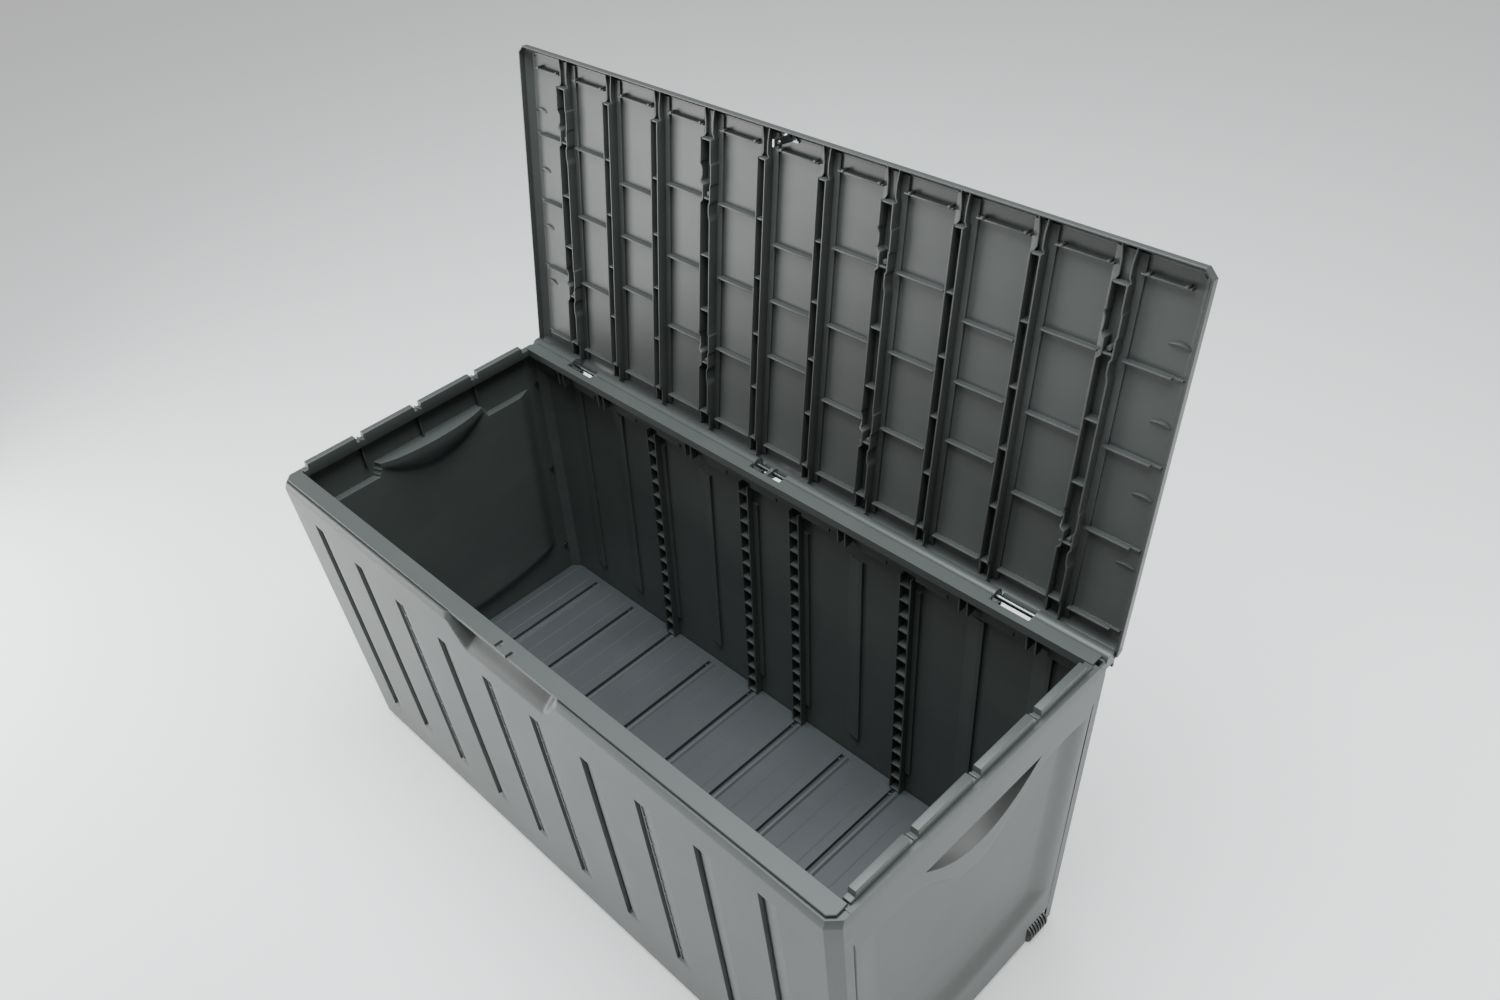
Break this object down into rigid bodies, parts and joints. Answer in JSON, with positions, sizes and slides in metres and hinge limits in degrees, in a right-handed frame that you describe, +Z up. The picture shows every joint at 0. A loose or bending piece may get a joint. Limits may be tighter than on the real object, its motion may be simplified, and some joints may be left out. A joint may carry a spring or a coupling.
{
  "type": "deck storage box",
  "caption": "Long planked resin deck box for garden cushions and tools, with carrying handles, rollers at one end and a full-width hinged lid standing open.",
  "frame": {"origin": "on the ground under the middle of the box, at the bottom face of the floor's centre foot", "axes": "+X to the right along the length, towards the roller end; +Y to the back, towards the hinges; +Z up"},
  "size_m": [1.2, 0.6308, 1.081],
  "materials": {
    "resin": "dark grey moulded polypropylene, fine wood-like grain, satin",
    "resin_floor": "dark grey moulded polypropylene, satin",
    "resin_lid": "dark grey moulded polypropylene, satin",
    "roller_plastic": "black moulded plastic",
    "steel": "zinc-plated steel"
  },
  "bodies": {
    "box": {"front_panel": "resin", "back_panel": "resin", "left_side_panel": "resin", "right_side_panel": "resin", "floor_panel": "resin_floor", "front_axle": "steel", "back_axle": "steel", "front_roller_bracket": "roller_plastic", "back_roller_bracket": "roller_plastic", "left_front_foot": "roller_plastic", "left_back_foot": "roller_plastic", "corner_screws": "steel", "floor_screws": "steel", "bracket_screws": "steel"},
    "lid": {"lid": "resin_lid", "lock_staple": "steel", "staple_screws": "steel", "left_hinge_pin": "steel", "centre_hinge_pin": "steel", "right_hinge_pin": "steel"},
    "front_roller": {"front_roller": "roller_plastic"},
    "back_roller": {"back_roller": "roller_plastic"}
  },
  "joints": [
    {"name": "lid_hinge", "type": "hinge", "parent": "box", "child": "lid", "pos_m": [0, 0.263, 0.562], "axis": [1, 0, 0], "range_deg": [0, 98]},
    {"name": "front_roller_spin", "type": "hinge", "parent": "box", "child": "front_roller", "pos_m": [0.569, -0.188, 0.022], "axis": [0, 1, 0], "continuous": true},
    {"name": "back_roller_spin", "type": "hinge", "parent": "box", "child": "back_roller", "pos_m": [0.569, 0.188, 0.022], "axis": [0, 1, 0], "continuous": true}
  ]
}
